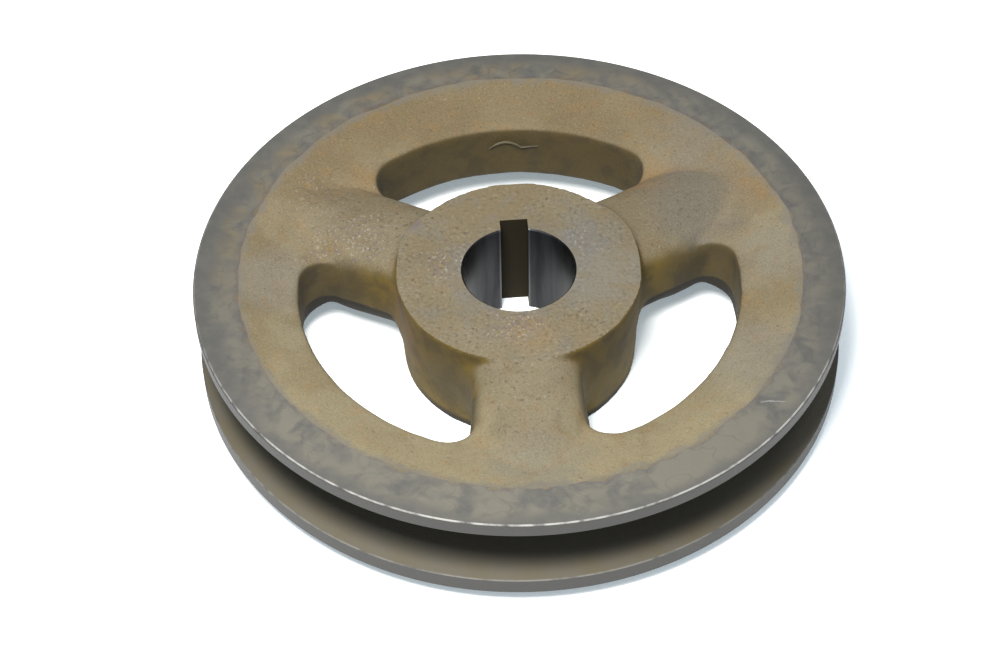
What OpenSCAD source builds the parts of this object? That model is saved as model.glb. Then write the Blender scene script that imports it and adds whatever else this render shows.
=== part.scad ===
// Engine pulley for one V-belt: an iron casting with three crowned spokes, turned on its rim and
// hub faces, bored and broached for a key. It lies on its hub. The origin is on the axis, at the
// hub's lower face, and the middle of one window is on +Y.

/* [Rim] */
// Outside diameter of the two flanges
rim_d = 146; // [136:1:160]
// Width of the rim from face to face
rim_w = 23; // [21:0.5:25]
// Width of the turned outside of the upper flange
upper_land = 3.3; // [2.5:0.1:4.5]
// Width of the turned outside of the lower flange
lower_land = 4.2; // [2.5:0.1:5]
// Included angle of the belt groove
groove_angle = 38; // [34:1:40]
// Depth of the belt groove
groove_depth = 15; // [12:0.5:16]
// Width of the turned band on each face of the rim
face_band = 9.7; // [6:0.1:12]
// Edge break at the corners of the flanges
land_edge = 0.4; // [0.2:0.1:0.8]

/* [Hub] */
// Diameter of the hub at its upper face
hub_d = 55.5; // [50:0.5:60]
// Length of the hub
hub_len = 26; // [24:0.5:30]
// Draft of the hub's side, in degrees
hub_draft = 2.5; // [0.5:0.5:3]
// Rounding of the hub's rims
hub_edge = 0.8; // [0.4:0.1:1.5]
// Diameter of the bore
bore_d = 25.4; // [19:0.05:28]
// Edge break at the ends of the bore
bore_edge = 0.3; // [0.1:0.1:0.8]
// Width of the keyway
key_w = 6.35; // [4:0.05:8]
// Depth of the keyway's floor beyond the top of the bore
key_depth = 2.9; // [2:0.1:5]
// Turn of the keyway from the middle of the window behind it, in degrees
key_turn = 1; // [-15:0.5:15]

/* [Web] */
// Radius of the windows' outer wall
window_r = 49.5; // [47:0.5:52]
// Thickness of the web at the windows
web_t = 15.4; // [12:0.2:16]
// Drop of the web below the rim's upper face at the windows
web_drop = 3.6; // [2.5:0.1:5]
// Rounding of the windows' edges
window_edge = 1.3; // [1:0.1:3]
// Radius of the windows' corners at the rim
corner_r = 6; // [4:0.5:9]

/* [Spokes] */
// Number of spokes
spoke_count = 3; // [3:1:4]
// Width of a spoke at its waist
spoke_w = 25.4; // [20:0.2:28]
// Thickness of a spoke at the hub
spoke_t = 22.8; // [16:0.2:24]
// Drop of a spoke's crown below the hub's upper face
spoke_drop = 0.1; // [0.1:0.1:1.5]
// Further fall of the crown from the waist to the foot
spoke_fall = 2.4; // [1.5:0.1:4]
// Squareness of a spoke's section at its waist, where 2 is an ellipse
spoke_square = 3; // [2.4:0.1:5]
// Width of a spoke's foot, where its crown fades into the rim
foot_w = 38; // [28:1:44]
// Squareness of the foot's section, low for a narrow crown with sloping sides
foot_square = 1.3; // [1.2:0.1:2.6]
// Radius of the fillet between a spoke and the hub
hub_fillet = 8; // [5:0.5:10]

/* [Hidden] */
$fn = 96;

// How far a blend runs into its neighbour, and how far a cut runs past a face
sink = 0.3;
past = 1;

rim_r = rim_d / 2;
hub_r = hub_d / 2;
bore_r = bore_d / 2;
face_z = hub_len;
rim_low = face_z - rim_w;
web_top = face_z - web_drop;
web_low = web_top - web_t;
face_r = rim_r - face_band;
key_floor = bore_r + key_depth;
spoke_top = face_z - spoke_drop;
spoke_low = spoke_top - spoke_t;
spoke_turn = 360 / spoke_count;

// Centre of the fillet beside a spoke at the hub, and of the windows' corner beside it at the rim
hub_fillet_y = spoke_w / 2 + hub_fillet;
hub_fillet_x = sqrt(pow(hub_r - sink + hub_fillet, 2) - pow(hub_fillet_y, 2));
corner_y = spoke_w / 2 - sink + corner_r;
corner_x = sqrt(pow(window_r - corner_r, 2) - pow(corner_y, 2));

// Height of the web's upper and lower side, two cones that run in from the bands on the rim's faces
function web_high(r) = face_z - web_drop * (face_r - r) / (face_r - window_r);
function web_under(r) = rim_low + (web_low - rim_low) * (face_r - r) / (face_r - window_r);

// Points of an arc from one angle to another, with or without the point that it starts from
function arc(x, y, r, from, to, steps = 8, first = 0) =
    [for (i = [first:steps]) let (a = from + (to - from) * i / steps) [x + r * cos(a), y + r * sin(a)]];

// Section of the rim and its web, before the groove and the windows are cut
module rim_section() {
    polygon([
        [corner_x, web_under(corner_x)],
        [corner_x, web_high(corner_x)],
        [face_r, face_z],
        [rim_r - land_edge, face_z],
        [rim_r, face_z - land_edge],
        [rim_r, rim_low + land_edge],
        [rim_r - land_edge, rim_low],
        [face_r, rim_low]
    ]);
}

// Section of the belt groove, open past the flanges
module groove_section() {
    half = tan(groove_angle / 2);
    top = face_z - upper_land;
    low = rim_low + lower_land;
    floor_r = rim_r - groove_depth;
    polygon([
        [floor_r, low + groove_depth * half],
        [floor_r, top - groove_depth * half],
        [rim_r + past, top + past * half],
        [rim_r + past, low - past * half]
    ]);
}

// Section of the hub, narrower at its lower end by the draft
module hub_section() {
    low_r = hub_r - hub_len * tan(hub_draft);
    polygon(concat(
        [[0, 0]],
        arc(low_r - hub_edge, hub_edge, hub_edge, -90, -hub_draft),
        arc(hub_r - hub_edge, face_z - hub_edge, hub_edge, -hub_draft, 90),
        [[0, face_z]]
    ));
}

// Stations along a spoke: distance from the axis, half width, height of the crown and squareness.
// They narrow round the fillet from the hub to the waist, then widen and fall to the foot in the rim.
function spoke_stations(steps = 8) =
    let (from = asin(hub_fillet_x / (hub_r - sink + hub_fillet)))
    concat(
        [[bore_r, hub_fillet_y - hub_fillet * cos(from), spoke_top, spoke_square]],
        [for (i = [0:steps]) let (a = from * (1 - i / steps))
            [hub_fillet_x - hub_fillet * sin(a), hub_fillet_y - hub_fillet * cos(a), spoke_top, spoke_square]],
        [for (i = [1:steps]) let (part = i / steps, ease = part * part)
            [hub_fillet_x + (face_r - hub_fillet_x) * part,
             spoke_w / 2 + (foot_w - spoke_w) / 2 * ease,
             spoke_top - spoke_fall * ease,
             spoke_square + (foot_square - spoke_square) * part]]
    );

// One crowned spoke along +X, lofted through a rounded section at each station
module spoke(around = 36) {
    stations = spoke_stations();
    last = len(stations) - 1;
    points = [for (s = stations, i = [0:around - 1]) let (
        a = 360 * i / around,
        power = 2 / s[3],
        half_t = (s[2] - spoke_low) / 2)
        [s[0], s[1] * sign(cos(a)) * pow(abs(cos(a)), power),
         spoke_low + half_t + half_t * sign(sin(a)) * pow(abs(sin(a)), power)]];
    sides = [for (j = [0:last - 1], i = [0:around - 1]) let (k = (i + 1) % around)
        [j * around + i, (j + 1) * around + i, (j + 1) * around + k, j * around + k]];
    ends = [[for (i = [0:around - 1]) i], [for (i = [around - 1:-1:0]) last * around + i]];
    polyhedron(points, concat(sides, ends), convexity = 4);
}

// Half of a window's outline from the spoke on +X to the window's middle, grown by some distance
function window_half(grow, steps = 8) =
    let (swing = atan2(corner_y, corner_x))
    concat(
        [[hub_r / 2, corner_y - corner_r - grow]],
        arc(corner_x, corner_y, corner_r + grow, -90, swing, steps),
        arc(0, 0, window_r + grow, swing, spoke_turn / 2, steps, first = 1)
    );

// The other half, mirrored over the window's middle and in reverse order
function mirrored_half(half) =
    [for (i = [len(half) - 2:-1:0]) let (p = half[i])
        [p.x * cos(spoke_turn) + p.y * sin(spoke_turn), p.x * sin(spoke_turn) - p.y * cos(spoke_turn)]];

// Rounding of a window's edge, as steps outward from its wall and down from the web's surface
function edge_steps() =
    let (slope = 60, out = window_edge * (1 - cos(slope)), down = window_edge * (1 - sin(slope)))
    concat(
        [for (a = [0:15:slope]) [window_edge * (1 - cos(a)), window_edge * (1 - sin(a))]],
        [[out + (down + past) * tan(slope), -past]]
    );

// One window beside the spoke on +X, lofted up its wall with both its edges rounded
module window() {
    steps = edge_steps();
    last = 2 * len(steps) - 1;
    rings = [for (j = [0:last]) let (
        upper = j >= len(steps),
        step = upper ? steps[j - len(steps)] : steps[len(steps) - 1 - j],
        half = window_half(step.x))
        [for (p = concat(half, mirrored_half(half)))
            [p.x, p.y, upper ? web_high(norm(p)) - step.y : web_under(norm(p)) + step.y]]];
    around = len(rings[0]);
    sides = [for (j = [0:last - 1], i = [0:around - 1]) let (k = (i + 1) % around, low = j * around)
        each [[low + i, low + around + i, low + k], [low + k, low + around + i, low + around + k]]];
    ends = [[for (i = [0:around - 1]) i], [for (i = [around - 1:-1:0]) last * around + i]];
    polyhedron([for (ring = rings) each ring], concat(sides, ends), convexity = 6);
}

// Everything the mould gives the casting
module casting() {
    difference() {
        rotate_extrude() rim_section();
        for (i = [0:spoke_count - 1])
            rotate(90 + spoke_turn * (i - 0.5)) window();
    }
    for (i = [0:spoke_count - 1])
        rotate(90 + spoke_turn * (i + 0.5)) spoke();
    rotate_extrude() hub_section();
}

// Bore with broken edges, and the keyway through its wall
module bore_and_keyway() {
    translate([0, 0, -past]) cylinder(r = bore_r, h = hub_len + 2 * past);
    for (side = [0, 1])
        translate([0, 0, side * hub_len])
            mirror([0, 0, side])
                translate([0, 0, -past])
                    cylinder(r1 = bore_r + bore_edge + past, r2 = bore_r, h = bore_edge + past);
    rotate(90 + key_turn)
        translate([0, -key_w / 2, -past])
            cube([key_floor, key_w, hub_len + 2 * past]);
}

module pulley() {
    color("#8d8063")
        difference() {
            casting();
            rotate_extrude() groove_section();
            bore_and_keyway();
        }
}

pulley();
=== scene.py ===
import math

import bmesh
import bpy
from mathutils import Matrix, Quaternion, Vector, noise


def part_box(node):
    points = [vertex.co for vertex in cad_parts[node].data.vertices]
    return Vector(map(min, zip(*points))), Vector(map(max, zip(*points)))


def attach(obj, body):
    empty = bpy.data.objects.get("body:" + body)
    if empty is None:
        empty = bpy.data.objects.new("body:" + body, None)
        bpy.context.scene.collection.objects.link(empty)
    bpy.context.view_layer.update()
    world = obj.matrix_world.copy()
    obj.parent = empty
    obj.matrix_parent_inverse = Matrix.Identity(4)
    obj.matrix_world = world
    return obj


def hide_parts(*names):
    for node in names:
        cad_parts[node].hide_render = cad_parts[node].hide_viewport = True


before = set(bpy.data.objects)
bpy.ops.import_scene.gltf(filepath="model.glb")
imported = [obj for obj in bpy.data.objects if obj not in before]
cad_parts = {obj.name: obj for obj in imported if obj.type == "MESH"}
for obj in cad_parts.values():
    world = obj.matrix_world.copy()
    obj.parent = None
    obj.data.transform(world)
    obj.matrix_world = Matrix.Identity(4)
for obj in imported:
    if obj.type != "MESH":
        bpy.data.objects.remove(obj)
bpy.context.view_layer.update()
mm = 0.001


# The rough casting: grey iron poured in sand, with stock left for the lathe on the rim and the hub.
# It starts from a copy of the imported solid, so every spoke, window and wall lies where the frame has it.
# The sand prints its grain in the skin, and every inside corner comes out of the mould filleted.
rim_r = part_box("pulley")[1].x
face_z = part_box("pulley")[1].z
rim_low = 3 * mm
face_r = 63.3 * mm
window_r = 49.5 * mm
web_drop = 3.6 * mm
web_slope = web_drop / (face_r - window_r)
hub_r = 27.75 * mm
hub_draft = math.tan(math.radians(2.5))
groove_depth = 15 * mm
groove_floor_r = rim_r - groove_depth
stock = 1.5 * mm
hub_stock = 0.35 * mm
sand_grid = 0.59 * mm
fillet_passes = 4
hollow_passes = 40
lower_fill = 2
fill_heights = (0.6 * face_z, 0.4 * face_z)
swell_size = 11 * mm
swell_height = 0.16 * mm
lump_size = 3.2 * mm
lump_height = 0.05 * mm
scab_place = Vector((-43, 27, 23)) * mm
scab_reach = 13 * mm
scab_size = 1.5 * mm
scab_height = 0.4 * mm
crown_drop = 0.25 * mm
first_spoke = 30
spoke_turn = 120
skirt_depth = 1.8 * mm
skirt_heights = (0.5 * face_z, 0.3 * face_z)
skirt_inner = (12, 18)
skirt_outer = (46, 28)
skirt_full_r = 42 * mm
skirt_rear = (38 * mm, 22 * mm)
mould_shift = Vector((0.41, 0.51, 0)) * mm


def spin_body(shape, outline, steps=240):
    """Adds a body of revolution about the bore, from a closed outline of radii and heights."""
    points = [shape.verts.new((radius, 0, height)) for radius, height in outline]
    edges = [shape.edges.new(pair) for pair in zip(points, points[1:] + points[:1])]
    bmesh.ops.spin(shape, geom=points + edges, axis=(0, 0, 1), cent=(0, 0, 0),
                   angle=2 * math.pi, steps=steps, use_merge=True)


def object_of(name, shape):
    """Ends a bmesh as a new object at the origin."""
    bmesh.ops.remove_doubles(shape, verts=shape.verts, dist=0.001 * mm)
    bmesh.ops.recalc_face_normals(shape, faces=shape.faces)
    mesh = bpy.data.meshes.new(name)
    shape.to_mesh(mesh)
    shape.free()
    made = bpy.data.objects.new(name, mesh)
    bpy.context.scene.collection.objects.link(made)
    return made


def apply_modifiers(made):
    """Gives an object the mesh that its modifiers make of it, and removes them."""
    shown = made.evaluated_get(bpy.context.evaluated_depsgraph_get())
    made.data = bpy.data.meshes.new_from_object(shown)
    made.modifiers.clear()


def ease(value, start, end):
    """Rises smoothly from 0 to 1 between two values, the first of which may be the larger."""
    part = min(max((value - start) / (end - start), 0), 1)
    return part * part * (3 - 2 * part)


def sand_print(place):
    """Height of the mould's print in the skin: swells, lumps, a scab, low crowns and an askew mould."""
    swell = noise.fractal(place / swell_size, 1.0, 2.0, 3)
    lump = noise.noise(place / lump_size)
    scab = noise.noise(place / scab_size) * max(0, 1 - (place - scab_place).length / scab_reach)
    askew = place.dot(mould_shift) / face_r * web_slope
    radius = place.xy.length
    low = crown_drop * ease(radius, hub_r, hub_r + 2 * sand_grid) * ease(radius, face_r, window_r)
    return swell_height * swell + lump_height * lump + scab_height * scab - askew - low


def skirt(place):
    """How far a window's lower edge hangs beside the spokes, in the two windows in front where it shows."""
    angle = math.degrees(math.atan2(place.y, place.x)) - first_spoke
    swing = abs((angle + spoke_turn / 2) % spoke_turn - spoke_turn / 2)
    radius = place.xy.length
    beside = ease(swing, *skirt_inner) * ease(swing, *skirt_outer)
    outward = ease(radius, hub_r, skirt_full_r) * ease(radius, face_r, window_r)
    lower = ease(place.z, *skirt_heights)
    return skirt_depth * beside * outward * lower * ease(place.y, *skirt_rear)


def smooth(shape, passes):
    """Eases all edges and corners of a mesh a little, some number of times."""
    for _ in range(passes):
        bmesh.ops.smooth_vert(shape, verts=shape.verts, factor=0.5,
                              use_axis_x=True, use_axis_y=True, use_axis_z=True)


poured = bmesh.new()
poured.from_mesh(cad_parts["pulley"].data)
rim_stock = [
    (groove_floor_r - stock, rim_low + stock),
    (groove_floor_r - stock, face_z - 2 * stock),
    (face_r, face_z),
    (rim_r + stock, face_z + (rim_r + stock - face_r) * web_slope),
    (rim_r + stock, rim_low - (rim_r + stock - face_r) * web_slope),
    (face_r, rim_low),
]
spin_body(poured, rim_stock)
hub_body = [
    (0, -hub_stock),
    (hub_r - (face_z + hub_stock) * hub_draft, -hub_stock),
    (hub_r + hub_stock * hub_draft, face_z + hub_stock),
    (0, face_z + hub_stock),
]
spin_body(poured, hub_body)
pulley = object_of("pulley_casting", poured)
sand = pulley.modifiers.new("sand", "REMESH")
sand.mode = "VOXEL"
sand.voxel_size = sand_grid
apply_modifiers(pulley)

skin = bmesh.new()
skin.from_mesh(pulley.data)
smooth(skin, fillet_passes)
skin.normal_update()
filleted = [(v.co.copy(), v.normal.copy()) for v in skin.verts]
smooth(skin, hollow_passes)
hollow = skin.verts.layers.float.new("hollow")
for v, (place, normal) in zip(skin.verts, filleted):
    fill = (v.co - place).dot(normal)
    v[hollow] = fill / mm
    lower = ease(place.z, *fill_heights)
    v.co = place + normal * (sand_print(place) + max(fill, 0) * lower * lower_fill)
    v.co.z -= skirt(place)
skin.to_mesh(pulley.data)
skin.free()


# The casting flash: a thin fin of iron that ran into a crack in the sand core of the window behind the hub.
# It stands on the window's outer wall as a low bead, an arch with a tail that thins out.
# It is of one piece with the casting, and is joined to it before anything is machined.
flash_brown = (0.070, 0.056, 0.032, 1)
flash_half = 0.28 * mm
flash_tip = 0.35
flash_swells = (0, 0.15)
flash_thins = (1, 0.4)
flash_angles = (94.8, 81.2)
flash_low = 16.6 * mm
arch_rise = 1.8 * mm
arch_share = 0.65
tail_rise = 0.5 * mm
flash_steps = 26


def bead(shape, path, halves, sides=8):
    """Fills an empty bmesh with a closed round bead along a path, with its own half width at each place."""
    for i, place in enumerate(path):
        along = path[min(i + 1, len(path) - 1)] - path[max(i - 1, 0)]
        turn = along.to_track_quat("Z", "Y").to_matrix().to_4x4()
        stand = Matrix.Translation(place) @ turn
        bmesh.ops.create_circle(shape, segments=sides, radius=halves[i], matrix=stand)
    bmesh.ops.bridge_loops(shape, edges=shape.edges[:])
    ends = [edge for edge in shape.edges if edge.is_boundary]
    bmesh.ops.holes_fill(shape, edges=ends, sides=sides)


def on_wall(angle, height):
    """A place on the windows' outer wall."""
    angle = math.radians(angle)
    return Vector((window_r * math.cos(angle), window_r * math.sin(angle), height))


def combine(made, other, operation):
    """Joins another object to one or cuts it away, and keeps the material of each on its own faces."""
    step = made.modifiers.new(other.name, "BOOLEAN")
    step.operation = operation
    step.object = other
    step.solver = "MANIFOLD"
    step.material_mode = "TRANSFER"


flash = bmesh.new()
flash_path = []
flash_halves = []
for i in range(flash_steps + 1):
    part = i / flash_steps
    arch = max(0, 1 - (2 * part / arch_share - 1) ** 2)
    height = flash_low + arch_rise * arch + tail_rise * ease(part, arch_share, 1)
    angle = flash_angles[0] + (flash_angles[1] - flash_angles[0]) * part
    swell = ease(part, *flash_swells) * ease(part, *flash_thins)
    flash_path.append(on_wall(angle, height))
    flash_halves.append(flash_half * (flash_tip + (1 - flash_tip) * swell))
bead(flash, flash_path, flash_halves)
fin = object_of("casting_flash", flash)
flash_iron = bpy.data.materials.new("casting_flash")
flash_iron.use_nodes = True
flash_inputs = flash_iron.node_tree.nodes["Principled BSDF"].inputs
flash_inputs["Base Color"].default_value = flash_brown
flash_inputs["Roughness"].default_value = 0.7
fin.data.materials.append(flash_iron)
combine(pulley, fin, "UNION")


# The machined faces: the rim is faced on both sides, turned and grooved for the belt in one setting.
# The hub is faced at both ends and bored, and a slotting tool cuts the keyway through the bore's wall.
# Each tool is a body of revolution or a bar, and leaves its own finish on the faces that it cuts.
land_edge = 0.4 * mm
upper_land = 3.3 * mm
lower_land = 4.2 * mm
groove_half_angle = math.radians(19)
groove_rise = groove_depth * math.tan(groove_half_angle)
turned_from = 58 * mm
clear = 10 * mm
hub_faced_to = 45 * mm
bore_r = 12.7 * mm
bore_edge = 0.3 * mm
key_w = 6.35 * mm
key_depth = 2.9 * mm
key_floor = bore_r + key_depth
key_angle = math.radians(91)
sharp_angle = math.radians(30)

lathe = bmesh.new()
spin_body(lathe, [
    (turned_from, face_z),
    (rim_r - land_edge, face_z),
    (rim_r, face_z - land_edge),
    (rim_r, face_z - upper_land),
    (groove_floor_r, face_z - upper_land - groove_rise),
    (groove_floor_r, rim_low + lower_land + groove_rise),
    (rim_r, rim_low + lower_land),
    (rim_r, rim_low + land_edge),
    (rim_r - land_edge, rim_low),
    (turned_from, rim_low),
    (turned_from, rim_low - clear),
    (rim_r + clear, rim_low - clear),
    (rim_r + clear, face_z + clear),
    (turned_from, face_z + clear),
], steps=360)
facing_tool = bmesh.new()
for face, beyond in ((face_z, face_z + clear), (0, -clear)):
    cutter = [(0, face), (hub_faced_to, face), (hub_faced_to, beyond), (0, beyond)]
    spin_body(facing_tool, cutter, steps=180)
boring_bar = bmesh.new()
spin_body(boring_bar, [
    (0, -clear),
    (bore_r + bore_edge + clear, -clear),
    (bore_r, bore_edge),
    (bore_r, face_z - bore_edge),
    (bore_r + bore_edge + clear, face_z + clear),
    (0, face_z + clear),
], steps=180)
slotter = bmesh.new()
bar_place = Matrix.Rotation(key_angle, 4, "Z") @ Matrix.Translation((key_floor / 2, 0, face_z / 2))
bar_size = Matrix.Diagonal((key_floor, key_w, face_z + 2 * clear, 1))
bmesh.ops.create_cube(slotter, size=1, matrix=bar_place @ bar_size)

tools = [
    object_of("turned_rim", lathe),
    object_of("faced_hub", facing_tool),
    object_of("bored_wall", boring_bar),
    object_of("slotted_keyway", slotter),
]
pulley.data.materials.append(bpy.data.materials.new("sand_cast_skin"))
for tool in tools:
    tool.data.materials.append(bpy.data.materials.new(tool.name))
    combine(pulley, tool, "DIFFERENCE")
apply_modifiers(pulley)
for spent in [fin, *tools]:
    bpy.data.objects.remove(spent)

cut_casting = bmesh.new()
cut_casting.from_mesh(pulley.data)
for face in cut_casting.faces:
    face.smooth = True
for edge in cut_casting.edges:
    finishes = {face.material_index for face in edge.link_faces}
    edge.smooth = len(finishes) == 1 and edge.calc_face_angle(0) < sharp_angle
cut_casting.to_mesh(pulley.data)
cut_casting.free()
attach(pulley, "root")
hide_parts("pulley")


# The skin of the casting: bare iron under old sand scale and a film of ochre rust.
# Painted light makes the front half paler, rust gathers in the hollows and behind, and the walls are browner
# and carry painted shade.
# The sand leaves a fine grain with open pits, and the crowns are rubbed to a darker brown.
# Painted shade blackens the downward-facing lower edges in the windows and the front of the hub's foot.
class Shade:
    """A socket in a material, which takes part in sums like a number."""

    def __init__(self, tree, socket=None):
        self.tree = tree
        self.socket = socket

    def feed(self, node, inputs):
        """Links or sets the named inputs of a node."""
        for name, given in inputs.items():
            if isinstance(given, Shade):
                self.tree.links.new(given.socket, node.inputs[name])
            else:
                node.inputs[name].default_value = given

    def node(self, kind, settings, inputs, output=0):
        """Makes a node from its settings and its inputs, and gives one of its outputs."""
        made = self.tree.nodes.new(kind)
        for name, setting in settings.items():
            setattr(made, name, setting)
        self.feed(made, inputs)
        return Shade(self.tree, made.outputs[output])

    def maths(self, operation, first, second=0):
        """Works out one sum of two sockets or numbers."""
        return self.node("ShaderNodeMath", {"operation": operation}, {0: first, 1: second})

    def __add__(self, other):
        return self.maths("ADD", self, other)

    def __radd__(self, other):
        return self.maths("ADD", other, self)

    def __sub__(self, other):
        return self.maths("SUBTRACT", self, other)

    def __rsub__(self, other):
        return self.maths("SUBTRACT", other, self)

    def __mul__(self, other):
        return self.maths("MULTIPLY", self, other)

    def __rmul__(self, other):
        return self.maths("MULTIPLY", other, self)

    def __truediv__(self, other):
        return self.maths("DIVIDE", self, other)

    def __rtruediv__(self, other):
        return self.maths("DIVIDE", other, self)

    def __abs__(self):
        return self.maths("ABSOLUTE", self)


def axis_of(vector, axis):
    """One coordinate of a vector."""
    return vector.node("ShaderNodeSeparateXYZ", {}, {0: vector}, axis)


def places(name):
    """Turns a material's nodes on, and gives points in mm, their radius and their drop below the faces."""
    material = bpy.data.materials[name]
    material.use_nodes = True
    point = Shade(material.node_tree).node("ShaderNodeTexCoord", {}, {}, "Object")
    point = point.node("ShaderNodeVectorMath", {"operation": "SCALE"}, {0: point, "Scale": 1 / mm})
    flat = point.node("ShaderNodeVectorMath", {"operation": "MULTIPLY"}, {0: point, 1: (1, 1, 0)})
    radius = flat.node("ShaderNodeVectorMath", {"operation": "LENGTH"}, {0: flat}, "Value")
    return point, radius, face_z / mm - axis_of(point, "Z")


def fade(value, start, end):
    """Rises smoothly from 0 to 1 between two values, the first of which may be the larger."""
    return value.node("ShaderNodeMapRange", {"interpolation_type": "SMOOTHSTEP"},
                      {"Value": value, "From Min": start, "From Max": end})


def grain(point, size, detail=2, warp=0):
    """Noise about a half, in lumps of some size in mm."""
    return point.node("ShaderNodeTexNoise", {},
                      {"Vector": point, "Scale": 1 / size, "Detail": detail, "Distortion": warp})


def specks(point, size, level):
    """Small ragged specks of some size in mm, rarer at a higher level."""
    return fade(grain(point, size, 2), level, level + 0.06)


def near(point, centre, reach):
    """1 at a place on the part and 0 beyond a ragged reach in mm."""
    away = point.node("ShaderNodeVectorMath", {"operation": "DISTANCE"}, {0: point, 1: centre}, "Value")
    ragged = away + (grain(point, reach / 2, 4) - 0.5) * reach
    return fade(ragged, reach, reach / 4)


def blend(part, first, second):
    """Mixes two colours, the second by its part."""
    return part.node("ShaderNodeMix", {"data_type": "RGBA"}, {0: part, 6: first, 7: second}, 2)


def rough(relief):
    """Turns a relief in mm into a bent normal."""
    return relief.node("ShaderNodeBump", {}, {"Height": relief, "Distance": mm})


def surface(point, inputs):
    """Feeds the material's own shader."""
    point.feed(point.tree.nodes["Principled BSDF"], inputs)


ochre = (0.104, 0.080, 0.042, 1)
tan = (0.136, 0.113, 0.069, 1)
painted_front_light = (0.160, 0.135, 0.080, 1)
orange_ochre = (0.104, 0.075, 0.037, 1)
olive = (0.076, 0.063, 0.035, 1)
wall_brown_and_shade = (0.052, 0.037, 0.011, 1)
hub_brown = (0.096, 0.063, 0.008, 1)
crown_brown = (0.084, 0.069, 0.046, 1)
rust = (0.165, 0.092, 0.030, 1)
scale_grey = (0.118, 0.109, 0.091, 1)
bare_iron = (0.092, 0.087, 0.076, 1)
soot_and_shade_black = (0.014, 0.012, 0.009, 1)
plum = (0.074, 0.058, 0.066, 1)
speck_and_glint = (0.260, 0.245, 0.215, 1)
# Each patch has a centre and a reach in mm, a film and the part of the colour that the film takes up.
film_patches = [
    ((33, 29, 22), 10, rust, 0.5),
    ((57, 25, 24), 11, rust, 0.25),
    ((14, -41, 20), 7, rust, 0.3),
    ((-34, 33, 22), 9, rust, 0.25),
    ((41, 21, 24), 17, bare_iron, 0.65),
    ((-57, 2, 23), 15, scale_grey, 0.5),
    ((50, -29, 23), 17, scale_grey, 0.5),
    ((58, 2, 24), 14, scale_grey, 0.4),
    ((45, 42, 24), 14, scale_grey, 0.4),
    ((0, -55, 24), 14, bare_iron, 0.4),
]
wall_patches = [((-27, -7, 17), 12, rust, 0.6), ((-16, -22, 14), 11, olive, 0.45)]
grit_places = [((-42, 9, 23), 17, 0.3), ((-46, 30, 23), 12, 0.25), ((-33, 14, 25), 11, 0.25)]
# Each pair is where a film or a painted shade sets in and where it is full: drops, radii and distances in
# mm, or slopes.
crown_drops = (3.4, 1.2)
crown_radii = (56, 46)
wall_shade_slopes = (0.75, 0.3)
hub_side_radii = (29.5, 28.3)
underside_shade_drops = (15.3, 16.1)
underside_shade_middle = 8
underside_shade_halves = (22, 17)
contact_shadow_drops = (23, 24.8)
contact_shadow_front = (-10, -17)
underside_shade_slopes = (-0.98, -0.8)


def patched(point, colour, patches):
    """Lays ragged patches of other films over a colour."""
    for centre, reach, film, part in patches:
        colour = blend(near(point, centre, reach) * part, colour, film)
    return colour


def inset_of(point, radius):
    """Distance in mm outward from the border of the turned band, which lies askew with the mould."""
    shift = point.node("ShaderNodeVectorMath", {"operation": "DOT_PRODUCT"},
                       {0: point, 1: mould_shift / mm}, "Value")
    return radius - shift / radius - face_r / mm


def gritted(point, colour, spots):
    """Adds clusters of dark pits and bright specks, partly painted glints, to a colour."""
    for centre, reach, part in spots:
        cluster = near(point, centre, reach) * part
        colour = blend(cluster * specks(point, 1.1, 0.54), colour, plum)
        colour = blend(cluster * specks(point, 0.75, 0.61), colour, speck_and_glint)
    return colour


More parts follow.
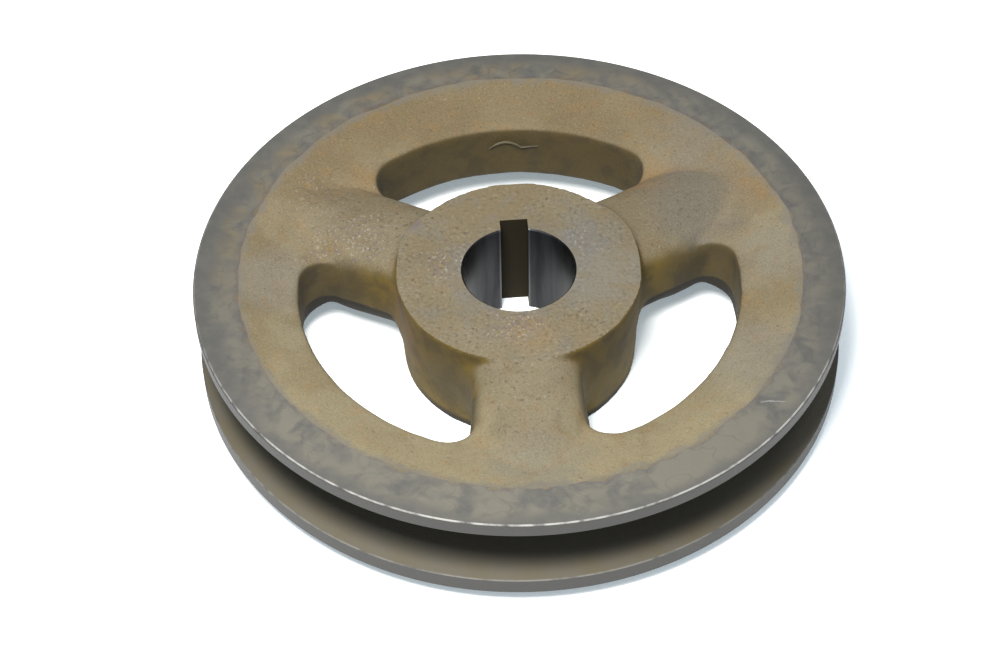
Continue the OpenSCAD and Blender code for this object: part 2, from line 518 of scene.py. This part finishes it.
def skin_colour(point, radius, drop):
    """Colour of the casting's film: painted light in front, orange in hollows, brown on crowns, browner
    walls with painted shade, and painted black shade on lower edges and the hub's foot.
    """
    hollow = point.node("ShaderNodeAttribute", {"attribute_name": "hollow"}, {}, "Fac")
    up = axis_of(point.node("ShaderNodeNewGeometry", {}, {}, "Normal"), "Z")
    along = axis_of(point, "Y")
    ragged = along + (grain(point, 20, 3) - 0.5) * 60
    colour = blend(fade(grain(point, 17, 4), 0.38, 0.62), ochre, tan)
    # Painted light: the front half of the skin is made paler and lighter.
    colour = blend(fade(ragged, 0, -60) * 0.75, colour, painted_front_light)
    colour = blend(fade(ragged, 10, 60) * 0.7, colour, orange_ochre)
    colour = blend(fade(grain(point, 7, 5), 0.5, 0.75) * 0.4, colour, olive)
    colour = blend(fade(grain(point, 3.5, 4), 0.52, 0.7) * 0.25, colour, rust)
    colour = patched(point, colour, film_patches)
    valley = fade(hollow, 0.05, 0.3) * fade(grain(point, 12, 3), 0.4, 0.6)
    colour = blend(valley * 0.3, colour, rust)
    crown = fade(drop, *crown_drops) * fade(radius, *crown_radii)
    colour = blend(crown * 0.4, colour, crown_brown)
    colour = blend(crown * fade(grain(point, 0.9, 1), 0.56, 0.74) * 0.25, colour, soot_and_shade_black)
    colour = gritted(point, colour, grit_places)
    colour = blend(specks(point, 0.9, 0.66) * 0.3, colour, soot_and_shade_black)
    # Bright specks over the skin, partly painted glints.
    colour = blend(specks(point, 0.7, 0.69) * 0.3, colour, speck_and_glint)
    fine = grain(point, 0.42, 1)
    colour = blend(fade(fine, 0.48, 0.75) * 0.22, colour, soot_and_shade_black)
    colour = blend(fade(fine, 0.46, 0.24) * 0.10, colour, speck_and_glint)
    # Painted shade: faces that turn toward vertical take a darker wall film, which is also browner.
    wall_film_and_shade = blend(fade(radius, 31, 40), hub_brown, wall_brown_and_shade)
    wall_film_and_shade = blend(fade(grain(point, 6, 4), 0.44, 0.62) * 0.4, wall_film_and_shade, soot_and_shade_black)
    wall_film_and_shade = patched(point, wall_film_and_shade, wall_patches)
    colour = blend(fade(up, *wall_shade_slopes) * 0.85, colour, wall_film_and_shade)
    hub_side = fade(radius, *hub_side_radii)
    # Painted shade: the downward-facing lower edges of the window walls and spokes are painted near black.
    painted_underside_shade = fade(drop, *underside_shade_drops) * fade(up, *underside_shade_slopes) * (1 - hub_side)
    painted_underside_shade = painted_underside_shade * fade(abs(along - underside_shade_middle), *underside_shade_halves)
    colour = blend(painted_underside_shade * 0.94, colour, soot_and_shade_black)
    # Painted contact shadow: the hub's side is painted black near its lower end in front, where it meets the
    # floor.
    hub_foot_contact_shadow = fade(drop, *contact_shadow_drops) * hub_side * fade(along, *contact_shadow_front)
    return blend(hub_foot_contact_shadow * 0.9, colour, soot_and_shade_black)


def skin_relief(point):
    """Relief of the sand's grain in mm."""
    return grain(point, 0.5, 1) * 0.045 + grain(point, 1.5, 2) * 0.08


point, radius, drop = places("sand_cast_skin")
colour = skin_colour(point, radius, drop)
rubbed = fade(inset_of(point, radius) + (grain(point, 4, 4) - 0.5) * 6, -2.2, 0.3)
colour = blend(rubbed * 0.65, colour, bare_iron)
surface(point, {
    "Base Color": colour,
    "Roughness": 0.8,
    "Specular IOR Level": 0.25,
    "Normal": rough(skin_relief(point)),
})


# The turned rim: dull iron, smeared on the inner part of the band with old grease and rust film.
# The outer part of the band and the two lands are plainer, and the corners are worn bright, with a painted
# highlight strongest at the front.
# The groove keeps a brown film of belt dust, and is painted darker toward its depth as shade.
point, radius, drop = places("turned_rim")
dull_iron = (0.073, 0.072, 0.067, 1)
land_iron = (0.043, 0.041, 0.039, 1)
smear_light = (0.128, 0.118, 0.095, 1)
smear_tan = (0.138, 0.110, 0.069, 1)
belt_film = (0.078, 0.069, 0.051, 1)
groove_painted_shade = (0.030, 0.028, 0.021, 1)
wear_and_highlight = (0.300, 0.295, 0.280, 1)
scratches = [((52, -43, 26), 4), ((43.6, -60, 26), 4)]
pale_place = (36, -57, 26)
outer_r = rim_r / mm
corner_r = (rim_r - land_edge) / mm
groove_top = upper_land / mm
groove_low = (face_z - rim_low - lower_land) / mm


def lines(point, size, level):
    """Thin lines that wander over the surface, along the places where a noise has one level."""
    return fade(abs(grain(point, size, 2) - level), 0.012, 0.002)


inset = inset_of(point, radius)
along = axis_of(point, "Y")
front = fade(along, -15, -50)
sideways = axis_of(point, "X")
rear = fade(along - sideways * 0.6, 20, 65)
reach = inset + (grain(point, 6, 3) - 0.5) * 6 - front * 2.5
smeared = fade(reach, 7.5, 3.5)
pale = near(point, pale_place, 17)
cloud = fade(grain(point, 4.5, 4, 0.6) + pale * 0.3, 0.30, 0.66)
smear_colour = blend(rear * fade(grain(point, 7, 3), 0.35, 0.6), smear_light, smear_tan)
colour = blend(fade(grain(point, 3, 4), 0.35, 0.7) * 0.3, dull_iron, smear_light)
colour = blend(smeared * cloud * 0.85, colour, smear_colour)
sides = fade(abs(sideways), 45, 68) * fade(abs(along), 45, 20)
colour = blend(sides * 0.2, colour, land_iron)
colour = blend(lines(point, 9, 0.5) * smeared * 0.22, colour, land_iron)
for centre, length in scratches:
    across = along - centre[1] + (grain(point, 2, 2) - 0.5) * 1.5
    colour = blend(near(point, centre, length) * fade(abs(across), 0.3, 0.1) * 0.4, colour, wear_and_highlight)
edge = inset + (grain(point, 3, 4) - 0.5) * 5
colour = blend(fade(edge, 1.1, 0.3) * 0.35, colour, plum)
colour = blend(fade(edge, 0.6, -0.4) * 0.7, colour, skin_colour(point, radius, drop))
colour = blend(fade(radius, outer_r - 0.5, outer_r - 0.2) * 0.85, colour, land_iron)
groove = fade(drop, groove_top - 0.1, groove_top + 0.2) * fade(drop, groove_low + 0.1, groove_low - 0.2)
film = blend(fade(grain(point, 9, 5), 0.4, 0.65) * 0.6, belt_film, olive)
# Painted shade: the groove's film darkens toward its depth.
film = blend(fade(radius, outer_r - 1.5, outer_r - 5.5) * 0.8, film, groove_painted_shade)
colour = blend(groove * 0.95, colour, film)
# The corners are worn bright and carry a painted highlight, strongest at the front.
upper_corner = fade(radius - drop, corner_r - 0.1, corner_r - 0.03) * fade(drop, 0.3, 0.18)
lower_corner = point.node("ShaderNodeMath", {"operation": "COMPARE"}, {0: drop, 1: groove_low, 2: 0.1})
worn_and_highlight = fade(grain(point, 3, 3), 0.25, 0.6) * (front * 0.75 + 0.25)
colour = blend((upper_corner + lower_corner * 0.25) * worn_and_highlight, colour, wear_and_highlight)
surface(point, {
    "Base Color": colour,
    "Metallic": 0.35 - groove * 0.3,
    "Roughness": 0.55 + groove * 0.25,
    "Specular IOR Level": 0.3,
    "Normal": rough(grain(point, 0.8, 2) * 0.04),
})


# The hub's faced ends: turned lightly over sand pores, then browned by rust like the skin.
# Round the bore the face is greyer, with pits, bright specks that are partly painted glints, and a few
# orange patches.
point, radius, drop = places("faced_hub")
face_grey = (0.086, 0.083, 0.075, 1)
speck_places = [((-15, 3, 26), 9, 0.45), ((-2, -16, 26), 9, 0.45), ((14, 7, 26), 7, 0.4)]
face_patches = [
    ((18, -2, 26), 17, scale_grey, 0.55),
    ((15, 10, 26), 10, face_grey, 0.6),
    ((2, -20, 26), 7, rust, 0.3),
    ((-23, 15.5, 26), 3, plum, 0.6),
]
rear_patches = [((-4, 22, 26), 19, ochre, 0.75)]
colour = patched(point, skin_colour(point, radius, drop), face_patches)
around_bore = fade(radius + (grain(point, 6, 3) - 0.5) * 8, 18.5, 13.5)
colour = blend(around_bore * 0.45, colour, face_grey)
colour = patched(point, colour, rear_patches)
colour = blend(fade(grain(point, 4, 4), 0.45, 0.62) * 0.5, colour, ochre)
colour = blend(fade(grain(point, 5, 4), 0.5, 0.68) * 0.35, colour, bare_iron)
pores = grain(point, 0.9, 2)
worked = fade(grain(point, 6, 3), 0.35, 0.65) * 0.7 + 0.3
colour = blend(fade(pores, 0.52, 0.78) * worked * 0.35, colour, soot_and_shade_black)
colour = blend(fade(pores, 0.46, 0.24) * worked * 0.2, colour, speck_and_glint)
colour = gritted(point, colour, speck_places)
surface(point, {
    "Base Color": colour,
    "Roughness": 0.75,
    "Specular IOR Level": 0.3,
    "Normal": rough(skin_relief(point) - pores * 0.25),
})


# The bore: a smooth wall left by the boring bar, with fine streaks along it from the shaft.
# It is oiled and dark, its left and right sides are painted darker as shade, and its edges beside the keyway
# are worn bright with a painted glint.
point, _, _ = places("bored_wall")
bore_steel = (0.030, 0.031, 0.035, 1)
oil_and_shade_black = (0.006, 0.006, 0.006, 1)
key_side = (math.sin(key_angle), -math.cos(key_angle), 0)
painted_shade_sides = (8.5, 11)
key_edge_glint_reach = (3.65, 3.4)
streak_stretch = (1, 1, 0.12)
across = point.node("ShaderNodeVectorMath", {"operation": "DOT_PRODUCT"}, {0: point, 1: key_side}, "Value")
beside = abs(across)
streaked = point.node("ShaderNodeVectorMath", {"operation": "MULTIPLY"}, {0: point, 1: streak_stretch})
colour = blend(fade(grain(streaked, 2.5, 4), 0.4, 0.65) * 0.65, bore_steel, oil_and_shade_black)
# Painted shade: the bore's wall darkens toward its left and right sides.
colour = blend(fade(beside, *painted_shade_sides) * 0.85, colour, oil_and_shade_black)
# The edges beside the keyway are worn bright, with a painted glint.
key_edge_wear_and_glint = fade(beside, *key_edge_glint_reach) * fade(axis_of(point, "Y"), 0, 5)
colour = blend(key_edge_wear_and_glint * 0.2, colour, wear_and_highlight)
surface(point, {"Base Color": colour, "Metallic": 0.8, "Roughness": 0.35, "Specular IOR Level": 0.2})


# The keyway: a slot for the key that drives the pulley, cut along the bore by a narrow tool.
# Its floor and sides are left as cut, and have browned more than the bore's wall.
point, _, _ = places("slotted_keyway")
key_brown = (0.017, 0.013, 0.006, 1)
colour = blend(fade(grain(point, 4, 4), 0.4, 0.7) * 0.5, key_brown, soot_and_shade_black)
surface(point, {"Base Color": colour, "Roughness": 0.7, "Specular IOR Level": 0.1})


# The floor, the light and the camera: a white light table in a bright studio, seen from above the front.
# The table glows a little from below, so the shadows in the windows stay pale.
floor_half = 4.0
table_white = (0.85, 0.85, 0.85, 1)
table_glow = (0.24, 0.29, 0.32, 1)
sky_blue = (0.87, 0.94, 1.0, 1)
softbox_place = Vector((-0.08, -0.17, 0.45))
plate = bmesh.new()
bmesh.ops.create_grid(plate, x_segments=1, y_segments=1, size=floor_half)
floor = object_of("floor", plate)
table = bpy.data.materials.new("light_table")
table.use_nodes = True
table_inputs = table.node_tree.nodes["Principled BSDF"].inputs
table_inputs["Base Color"].default_value = table_white
table_inputs["Emission Color"].default_value = table_glow
table_inputs["Emission Strength"].default_value = 1
floor.data.materials.append(table)

scene = bpy.context.scene
scene.view_settings.view_transform = "Standard"
world = bpy.data.worlds.new("studio")
scene.world = world
world.use_nodes = True
sky = world.node_tree.nodes["Background"].inputs
sky["Color"].default_value = sky_blue
sky["Strength"].default_value = 0.68

softbox = bpy.data.lights.new("softbox", "AREA")
softbox.shape = "SQUARE"
softbox.size = 0.16
softbox.energy = 5
softbox.color = (1.0, 0.98, 0.94)
softbox_object = bpy.data.objects.new("softbox", softbox)
scene.collection.objects.link(softbox_object)
softbox_object.location = softbox_place
softbox_object.rotation_euler = (-softbox_place).to_track_quat("-Z", "Y").to_euler()

aim = Vector((-5.3 * mm, -19.3 * mm, face_z))
turn, rise, roll = map(math.radians, (2.35, 47.64, -1.21))
distance = 547.5 * mm
level = math.cos(rise)
to_camera = Vector((-math.sin(turn) * level, -math.cos(turn) * level, math.sin(rise)))
lens = bpy.data.cameras.new("camera")
lens.lens = 90
lens.sensor_width = 36
camera = bpy.data.objects.new("camera", lens)
scene.collection.objects.link(camera)
camera.location = aim + to_camera * distance
camera.rotation_mode = "QUATERNION"
camera.rotation_quaternion = (-to_camera).to_track_quat("-Z", "Y") @ Quaternion((0, 0, 1), roll)
scene.camera = camera
